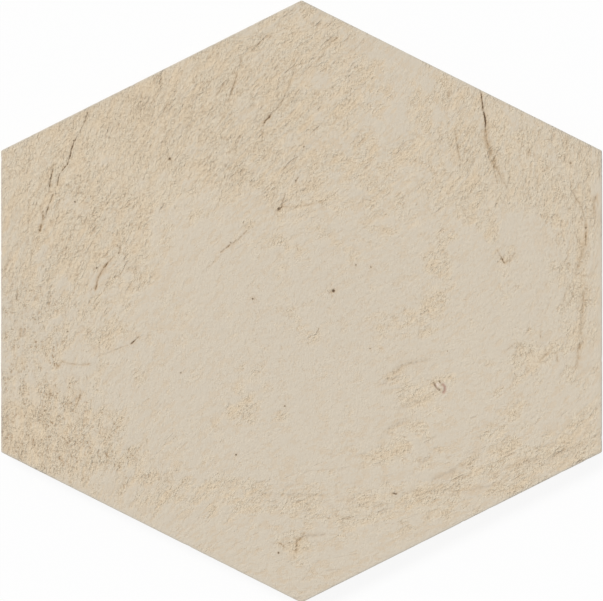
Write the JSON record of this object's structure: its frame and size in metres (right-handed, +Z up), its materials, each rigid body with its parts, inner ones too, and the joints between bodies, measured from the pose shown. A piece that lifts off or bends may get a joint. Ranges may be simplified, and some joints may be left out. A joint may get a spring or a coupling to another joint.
{
  "type": "hexagon floor tile",
  "caption": "Flat hexagonal ceramic floor tile with a matt hand-moulded face, softened edges and a honeycomb-keyed back.",
  "frame": {"origin": "middle of the back, in the plane that beds on the floor", "axes": "+Z up through the face, +Y to one of the two points, +X square to one of the two upright sides"},
  "size_m": [0.24, 0.2404, 0.01],
  "materials": {
    "fired_clay": "matt, unglazed cream clay"
  },
  "bodies": {
    "root": {"hexagon_tile": "fired_clay"}
  },
  "joints": []
}
